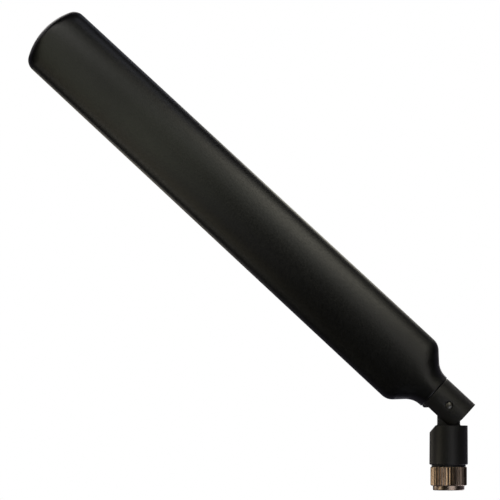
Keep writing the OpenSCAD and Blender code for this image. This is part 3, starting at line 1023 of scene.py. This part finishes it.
class ANTENNA_OT_cable(bpy.types.Operator):
    """Builds the cable's bend across the hinge, and finishes the rest of the cable"""

    bl_idname = "antenna.cable"
    bl_label = "Coaxial cable"

    def execute(self, context):
        colours = context.scene.finishes
        # extruded FEP jacket: smooth, faintly waxy black
        jacket = mottled("fep_jacket_black", colours.jacket, 0.3, 0.4 * MM, 0.003 * MM, ior=1.34)
        dress(["coax_lower", "coax_upper"], jacket)
        reach = PIVOT.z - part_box("coax_lower")[1].z
        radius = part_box("coax_lower")[1].x
        start = PIVOT - Vector((0, 0, reach))
        bend = reach / math.tan(TILT / 2)
        centre = start - Vector((bend, 0, 0))
        steps = 28
        path = [
            centre
            + bend * Vector((math.cos(TILT * k / steps), 0, math.sin(TILT * k / steps)))
            for k in range(steps + 1)
        ]
        made = tube("coax_bend", path, radius)
        made.data.materials.append(jacket)
        smooth(made)
        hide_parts("coax_flex")
        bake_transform(made)
        dress(["coax_braid_lower", "coax_braid_upper"], braid(colours.tin))
        # foamed FEP core: milky white and slightly clear
        core = mottled(
            "fep_core_natural",
            colours.core,
            0.35,
            0.2 * MM,
            0.002 * MM,
            ior=1.34,
            tone=0.03,
            **{"Subsurface Weight": 0.35, "Subsurface Scale": 0.3 * MM},
        )
        dress(["coax_core_lower", "coax_core_upper"], core)
        # silver-plated copper wire: white metal with drawing lines
        wire = mottled(
            "silver_plated_wire", colours.silver, 0.22, 0.1 * MM, 0.002 * MM, metallic=1.0
        )
        dress(["coax_wire_lower", "coax_wire_upper"], wire)
        return {"FINISHED"}


def braid(base):
    """Tinned copper braid: two crossed spirals of fine wires, with painted shade in the gaps between
    them.
    """
    made, tree = blank("tinned_copper_braid")
    place = add_node(tree, "ShaderNodeTexCoord").outputs["Object"]
    # the wires are 0.1 mm thick, and are drawn much coarser: each band of them is 1.26 mm wide
    band = 1.2566 * MM
    heights = []
    for turn in (-35, 35):
        lay = add_node(
            tree,
            "ShaderNodeMapping",
            {"Vector": place, "Rotation": (0, math.radians(turn) - TILT, 0)},
        )
        heights.append(
            add_node(
                tree,
                "ShaderNodeTexWave",
                {"Vector": lay.outputs["Vector"], "Scale": WAVE / band, "Distortion": 0.3},
            ).outputs["Fac"]
        )
    weave = add_node(tree, "ShaderNodeMath", {0: heights[0], 1: heights[1]}, operation="MULTIPLY")
    # where the two spirals run low the colour drops to a third of the tin's: painted shade in the
    # gaps between the wires
    ramp = add_node(tree, "ShaderNodeValToRGB", {"Fac": weave.outputs["Value"]})
    ramp.color_ramp.elements[0].color = (*[c * 0.3 for c in base], 1)
    ramp.color_ramp.elements[1].color = (*base, 1)
    ramp.color_ramp.elements[1].position = 0.4
    bump = add_node(
        tree, "ShaderNodeBump", {"Height": weave.outputs["Value"], "Distance": 0.05 * MM}
    )
    surface = add_node(
        tree,
        "ShaderNodeBsdfPrincipled",
        {
            "Base Color": ramp.outputs["Color"],
            "Metallic": 1.0,
            "Roughness": 0.35,
            "Normal": bump.outputs["Normal"],
        },
    )
    add_node(tree, "ShaderNodeOutputMaterial", {"Surface": surface.outputs["BSDF"]})
    return made


# ---- board ----


def laminate(base):
    """Glass-epoxy board under green resist: glossy, with the glass weave showing faintly."""
    made, tree = blank("glass_epoxy_with_resist")
    place = add_node(tree, "ShaderNodeTexCoord").outputs["Object"]
    lay = add_node(tree, "ShaderNodeMapping", {"Vector": place, "Rotation": (0, -TILT, 0)})
    # real glass yarns lie 0.5 mm apart, and are drawn 3.14 mm apart, as soft patches
    yarn = 3.1416 * MM
    bands = [
        add_node(
            tree,
            "ShaderNodeTexWave",
            {"Vector": lay.outputs["Vector"], "Scale": WAVE / yarn},
            bands_direction=way,
        ).outputs["Fac"]
        for way in ("X", "Z")
    ]
    weave = add_node(tree, "ShaderNodeMath", {0: bands[0], 1: bands[1]}, operation="MULTIPLY")
    ramp = add_node(tree, "ShaderNodeValToRGB", {"Fac": weave.outputs["Value"]})
    ramp.color_ramp.elements[0].color = (*[c * 0.8 for c in base], 1)
    ramp.color_ramp.elements[1].color = (*[min(1, c * 1.2) for c in base], 1)
    bump = add_node(
        tree, "ShaderNodeBump", {"Height": weave.outputs["Value"], "Distance": 0.005 * MM}
    )
    surface = add_node(
        tree,
        "ShaderNodeBsdfPrincipled",
        {
            "Base Color": ramp.outputs["Color"],
            "Roughness": 0.3,
            "IOR": 1.52,
            "Coat Weight": 0.4,
            "Normal": bump.outputs["Normal"],
        },
    )
    add_node(tree, "ShaderNodeOutputMaterial", {"Surface": surface.outputs["BSDF"]})
    return made


def chip(name, node):
    """A surface-mount chip: a body, and a metal cap over each end."""
    low, high = box_in(node, PADDLE)
    centre, half = (low + high) / 2, (high - low) / 2
    cap, inset, edge, corner = 0.3 * MM, 0.03 * MM, 0.07 * MM, 0.06 * MM
    rings = [[(centre.x, centre.y, low.z)]]
    # how far the square section is drawn in along the chip, with the caps proud of the body
    for z, draw in (
        (-half.z, edge),
        (-half.z + edge, 0),
        (-half.z + cap, 0),
        (-half.z + cap + inset, inset),
        (half.z - cap - inset, inset),
        (half.z - cap, 0),
        (half.z - edge, 0),
        (half.z, edge),
    ):
        x, y = half.x - draw, half.y - draw
        square = rounded([(x, y, corner), (-x, y, corner), (-x, -y, corner), (x, -y, corner)], 3)
        rings.append([(centre.x + p.x, centre.y + p.y, centre.z + z) for p in square])
    rings.append([(centre.x, centre.y, high.z)])
    made = solid(name, *loft(rings, closed=False))
    caps = [f.index for f in made.data.polygons if abs(f.center.z - centre.z) > half.z - cap]
    return made, caps


def solder_mound(name, node):
    """Solder that has wetted the copper and drawn up round the cable."""
    low, high = box_in(node, PADDLE)
    centre, half = (low + high) / 2, (high - low) / 2
    steps, rows = 40, 12
    # how wide and how long it still is at its top
    top_width, top_length = 0.35, 0.6
    rings = [[(centre.x, low.y, centre.z)]]
    for row in range(rows + 1):
        share = row / rows
        # steep near the cable and thin at the foot, as surface tension leaves it
        rise = (1 - share) ** 1.6
        width = half.x * (top_width + (1 - top_width) * (1 - rise))
        extent = half.z * (top_length + (1 - top_length) * math.sin(math.pi / 2 * share))
        rings.append(
            [
                (
                    centre.x + width * math.cos(TURN * k / steps),
                    high.y - 2 * half.y * rise,
                    centre.z + extent * math.sin(TURN * k / steps),
                )
                for k in range(steps)
            ]
        )
    rings.append([(centre.x, high.y, centre.z)])
    return solid(name, *loft(rings, closed=False))


def foam_pad(name, node):
    """A die-cut foam block, squeezed between board and shell so that its sides swell."""
    low, high = box_in(node, PADDLE)
    centre, half = (low + high) / 2, (high - low) / 2
    squeeze, corner, levels = 0.25 * MM, 0.5 * MM, 10
    rings = [[(centre.x, low.y, centre.z)]]
    for level in range(levels + 1):
        share = 2 * level / levels - 1
        swell = squeeze * (1 - share * share)
        x, z = half.x - squeeze + swell, half.z - squeeze + swell
        block = rounded([(x, z, corner), (-x, z, corner), (-x, -z, corner), (x, -z, corner)], 5)
        rings.append([(centre.x + p.x, centre.y + share * half.y, centre.z + p.y) for p in block])
    rings.append([(centre.x, high.y, centre.z)])
    return solid(name, *loft(rings, closed=False))


class ANTENNA_OT_board(bpy.types.Operator):
    """Finishes the board and its copper, and builds the chips, solder and foam pads"""

    bl_idname = "antenna.board"
    bl_label = "Board inside the radome"

    def execute(self, context):
        colours = context.scene.finishes
        dress(["antenna_board"], laminate(colours.laminate))
        # etched copper foil: a matt side up, with small brown oxide clouds
        copper = mottled(
            "copper_foil", colours.copper, 0.4, 0.3 * MM, 0.003 * MM, metallic=1.0, tone=0.3
        )
        dress(["ground_arm", "feed_pad", "low_band_arm", "high_band_arm"], copper)
        # tin-silver solder: bright where it flowed, with a frosty grain
        solder = mottled(
            "lead_free_solder", colours.solder, 0.26, 0.12 * MM, 0.004 * MM, metallic=1.0
        )
        # fired ceramic: dense, brown and dull
        ceramic = mottled("fired_ceramic", colours.ceramic, 0.5, 0.06 * MM, 0.003 * MM, ior=1.7)
        # pressed ferrite: dark grey, close grained
        ferrite = mottled("pressed_ferrite", colours.ferrite, 0.45, 0.06 * MM, 0.003 * MM, ior=1.9)
        for name, slot, body_material in (
            ("matching_capacitor", "chip_ceramic", ceramic),
            ("matching_inductor", "chip_ferrite", ferrite),
        ):
            made, caps = chip(name + "_chip", name)
            smooth(made, 50)
            finish_piece(made, "paddle", body_material, [name], PADDLE)
            made.data.materials.append(solder)
            for face in caps:
                made.data.polygons[face].material_index = 1
        for name in ("shield_solder", "feed_solder"):
            made = solder_mound(name + "_fillet", name)
            smooth(made, 60)
            finish_piece(made, "paddle", solder, [name], PADDLE)
        # open-cell polyurethane foam: soft dark grey, pitted by its 0.4 mm cells
        foam = mottled(
            "polyurethane_foam", colours.foam, 0.95, 0.4 * MM, 0.2 * MM, ior=1.45, tone=0.35
        )
        for side in ("front", "back"):
            made = foam_pad("foam_block_" + side, "foam_pad_" + side)
            smooth(made, 50)
            finish_piece(made, "paddle", foam, ["foam_pad_" + side], PADDLE)
        return {"FINISHED"}


# ---- stage ----


def lamp(name, place, aim, width, watts, hex_colour, spread=180):
    """A square soft box that faces a point. It lights the object, and isn't seen itself."""
    light = bpy.data.lights.new(name, "AREA")
    light.shape, light.size = "SQUARE", width
    light.energy = watts
    light.color = linear(hex_colour)
    light.spread = math.radians(spread)
    made = bpy.data.objects.new(name, light)
    made.location = place
    made.rotation_mode = "QUATERNION"
    made.rotation_quaternion = (aim - place).to_track_quat("-Z", "Y")
    made.visible_camera = False
    bpy.context.scene.collection.objects.link(made)


class ANTENNA_OT_stage(bpy.types.Operator):
    """Sets up the floor, the lamps, the surroundings and the camera"""

    bl_idname = "antenna.stage"
    bl_label = "Stage"

    def execute(self, context):
        scene = context.scene
        settings = scene.stage_settings
        low, high = cad_box
        middle = (low + high) / 2

        top = low.z - settings.floor_drop
        radius, thickness, edge = 1.6, 0.02, 0.01
        disc = [
            (0, top - thickness, 0),
            (radius, top - thickness, 0),
            (radius, top, edge),
            (0, top, 0),
        ]
        floor = solid("floor", *lathe(rounded(disc), 64))
        smooth(floor)
        # painted board: an even pale matt surface. The soft boxes face the object and hardly reach
        # it, so it has a light of its own, and it throws none on the object
        paint = mottled(
            "pale_matt_paint",
            settings.floor,
            roughness=0.8,
            grain=4 * MM,
            depth=0.05 * MM,
            tone=0.01,
            **{"Emission Color": (*settings.floor, 1), "Emission Strength": 0.85},
        )
        floor.data.materials.append(paint)
        floor.visible_diffuse = floor.visible_glossy = False

        # small soft boxes hang close round the paddle, so that its sheen changes along it. Each is
        # given by the height on the paddle that it faces, then by its own height up the paddle,
        # and its distances across and ahead of it, in millimetres. Most of the strengths and tints,
        # and the surroundings' too, come from a least-squares fit and weren't chosen by hand
        boxes = (
            ("key_lamp", 105, 105, 120, 300, 140, 0.054, "#fcfff2"),
            ("hinge_key_lamp", -40, -40, 120, 300, 140, 0.046, "#fff8f4"),
            ("right_lamp", 58, 58, 100, 100, 70, 0.038, "#fffbe9"),
            ("right_edge_lamp", 140, 140, 200, 100, 70, 0.016, "#e4e9ff"),
            ("blade_lamp", 140, 140, -30, 100, 70, 0.0097, "#fbffde"),
            ("left_lamp", 105, 105, -100, 100, 70, 0.0107, "#fff4d6"),
            ("left_sheen_lamp", 105, 105, -30, 100, 70, 0.0048, "#f8f4ff"),
            ("left_edge_lamp", 105, 105, -200, 100, 70, 0.0168, "#fffcee"),
            ("tip_lamp", 180, 180, 30, 100, 70, 0.023, "#fffbf6"),
            ("barrel_lamp", -4, -82, -27, 89, 90, 0.034, "#eff2ff"),
            ("right_rim_lamp", 40, 40, 140, 60, 70, 0.007, "#fffbe9"),
            ("tip_edge_lamp", 140, 240, -20, 60, 70, 0.006, "#fffbf6"),
            ("knuckle_lamp", -4, 98, -5, 63, 50, 0.0021, "#f7ffc7"),
        )
        # the same boxes light the back
        for side, prefix in ((-1, ""), (1, "rear_")):
            for name, faced, up, across, ahead, width, watts, tint in boxes:
                place = PADDLE @ (MM * Vector((across, side * ahead, up)))
                aim = PADDLE @ Vector((0, 0, faced * MM))
                lamp(prefix + name, place, aim, width * MM, watts * settings.light, tint)
        # a box with a grid, low on the left, lights the nut and not the blade
        aim = MM * Vector((0, 0, -24))
        place = aim + MM * Vector((-95, -30, 0))
        lamp("nut_lamp", place, aim, 60 * MM, 0.0009 * settings.light, "#fff1dc", spread=30)

        # the room behind the object gives its edges a faint light, and the camera sees plain white
        world = bpy.data.worlds.new("studio")
        world.use_nodes = True
        tree = world.node_tree
        tree.nodes.clear()
        way = add_node(tree, "ShaderNodeTexCoord").outputs["Generated"]
        parts = add_node(tree, "ShaderNodeSeparateXYZ", {"Vector": way})
        behind = add_node(
            tree,
            "ShaderNodeMapRange",
            {
                "Value": parts.outputs["Y"],
                "From Min": -0.05,
                "From Max": 0.05,
                "To Min": 0.0,
                "To Max": 0.107 * settings.light,
            },
        )
        walls = add_node(
            tree,
            "ShaderNodeBackground",
            {"Color": (*linear("#e9e2ff"), 1), "Strength": behind.outputs["Result"]},
        )
        backdrop = add_node(tree, "ShaderNodeBackground", {"Color": WHITE, "Strength": 1.0})
        seen = add_node(tree, "ShaderNodeLightPath").outputs["Is Camera Ray"]
        mix = add_node(
            tree,
            "ShaderNodeMixShader",
            {0: seen, 1: walls.outputs["Background"], 2: backdrop.outputs["Background"]},
        )
        add_node(tree, "ShaderNodeOutputWorld", {"Surface": mix.outputs["Shader"]})
        scene.world = world
        scene.view_settings.view_transform = "Standard"

        # the camera looks level, from a hair to the left of the object's middle and above it
        left, above = 0.43 * MM, 0.26 * MM
        camera = bpy.data.cameras.new("camera")
        camera.lens = camera.sensor_width * settings.distance / settings.field
        made = bpy.data.objects.new("camera", camera)
        made.location = (middle.x - left, -settings.distance, middle.z + above)
        made.rotation_euler = (math.radians(90), 0, 0)
        scene.collection.objects.link(made)
        scene.camera = made
        return {"FINISHED"}


class ANTENNA_PT_pieces(bpy.types.Panel):
    """Lists the antenna's operators"""

    bl_idname = "ANTENNA_PT_pieces"
    bl_label = "Hinged paddle antenna"
    bl_space_type = "VIEW_3D"
    bl_region_type = "UI"
    bl_category = "Antenna"

    def draw(self, context):
        for operator in OPERATORS:
            self.layout.operator(operator.bl_idname)


GROUPS = {
    "radome_sizes": RadomeSizes,
    "hinge_sizes": HingeSizes,
    "nut_sizes": NutSizes,
    "finishes": Finishes,
    "stage_settings": StageSettings,
}
OPERATORS = [
    ANTENNA_OT_radome,
    ANTENNA_OT_hinge,
    ANTENNA_OT_nut,
    ANTENNA_OT_plug,
    ANTENNA_OT_cable,
    ANTENNA_OT_board,
    ANTENNA_OT_stage,
]


def register():
    """Adds the settings, the operators and the panel."""
    for name, group in GROUPS.items():
        bpy.utils.register_class(group)
        setattr(bpy.types.Scene, name, PointerProperty(type=group))
    for kind in [*OPERATORS, ANTENNA_PT_pieces]:
        bpy.utils.register_class(kind)


def unregister():
    """Takes the panel, the operators and the settings away again."""
    for kind in [ANTENNA_PT_pieces, *reversed(OPERATORS)]:
        bpy.utils.unregister_class(kind)
    for name, group in GROUPS.items():
        delattr(bpy.types.Scene, name)
        bpy.utils.unregister_class(group)


def main():
    """Registers everything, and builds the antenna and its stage."""
    register()
    bpy.ops.antenna.radome()
    bpy.ops.antenna.hinge()
    bpy.ops.antenna.nut()
    bpy.ops.antenna.plug()
    bpy.ops.antenna.cable()
    bpy.ops.antenna.board()
    bpy.ops.antenna.stage()


if __name__ == "__main__":
    main()
